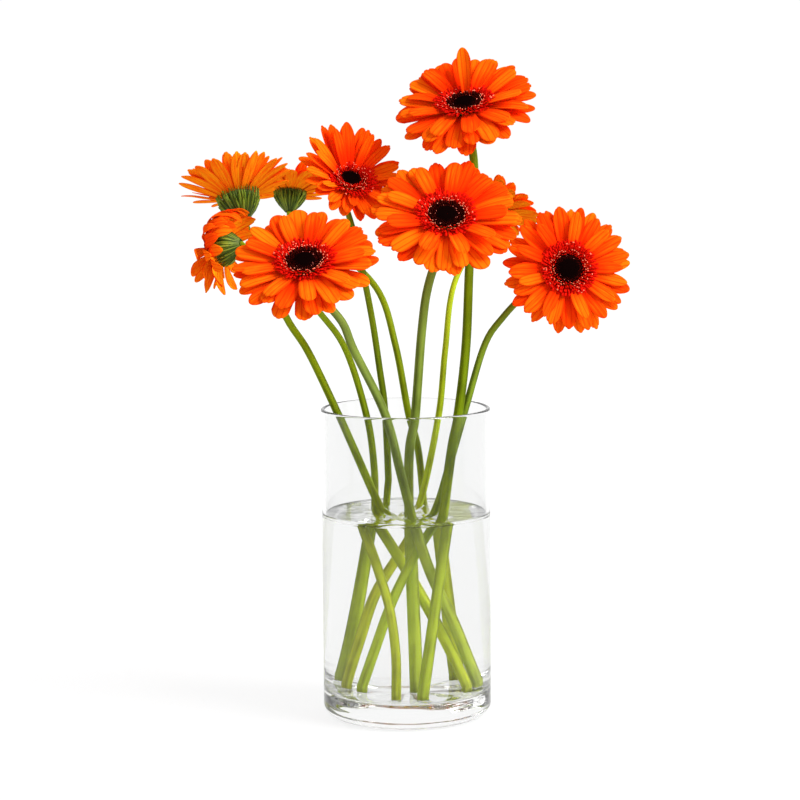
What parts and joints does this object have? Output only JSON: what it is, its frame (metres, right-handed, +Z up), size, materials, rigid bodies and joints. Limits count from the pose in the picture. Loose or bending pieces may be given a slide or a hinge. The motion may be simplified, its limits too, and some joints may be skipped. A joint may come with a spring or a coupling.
{
  "type": "gerbera daisy bunch in a glass vase",
  "caption": "Bunch of cut orange gerbera daisies with near-black eyes, their leafless stems standing in water in a clear glass cylinder vase with a thick base.",
  "frame": {"origin": "middle of the vase's underside", "axes": "+Z up along the vase's axis; the picture looks along +Y, so -Y is the front and +X is the picture's right"},
  "size_m": [0.322, 0.265, 0.4731],
  "materials": {
    "glass": "clear, polished",
    "water": "clear, still water",
    "stem": "fresh green stem, softly downy",
    "petals": "velvety orange petal with fine grooves",
    "disc": "near-black packed disc florets"
  },
  "bodies": {
    "root": {"vase": "glass", "water": "water", "stem_front_left": "stem", "stem_centre": "stem", "stem_top": "stem", "stem_right": "stem", "stem_upper_left": "stem", "stem_far_left": "stem", "stem_back_left": "stem", "stem_low_left": "stem", "stem_back_right": "stem", "petals_front_left": "petals", "petals_centre": "petals", "petals_top": "petals", "petals_right": "petals", "petals_upper_left": "petals", "petals_far_left": "petals", "petals_back_left": "petals", "petals_low_left": "petals", "petals_back_right": "petals", "disc_front_left": "disc", "disc_centre": "disc", "disc_top": "disc", "disc_right": "disc", "disc_upper_left": "disc", "disc_far_left": "disc", "disc_back_left": "disc", "disc_low_left": "disc", "disc_back_right": "disc"}
  },
  "joints": []
}
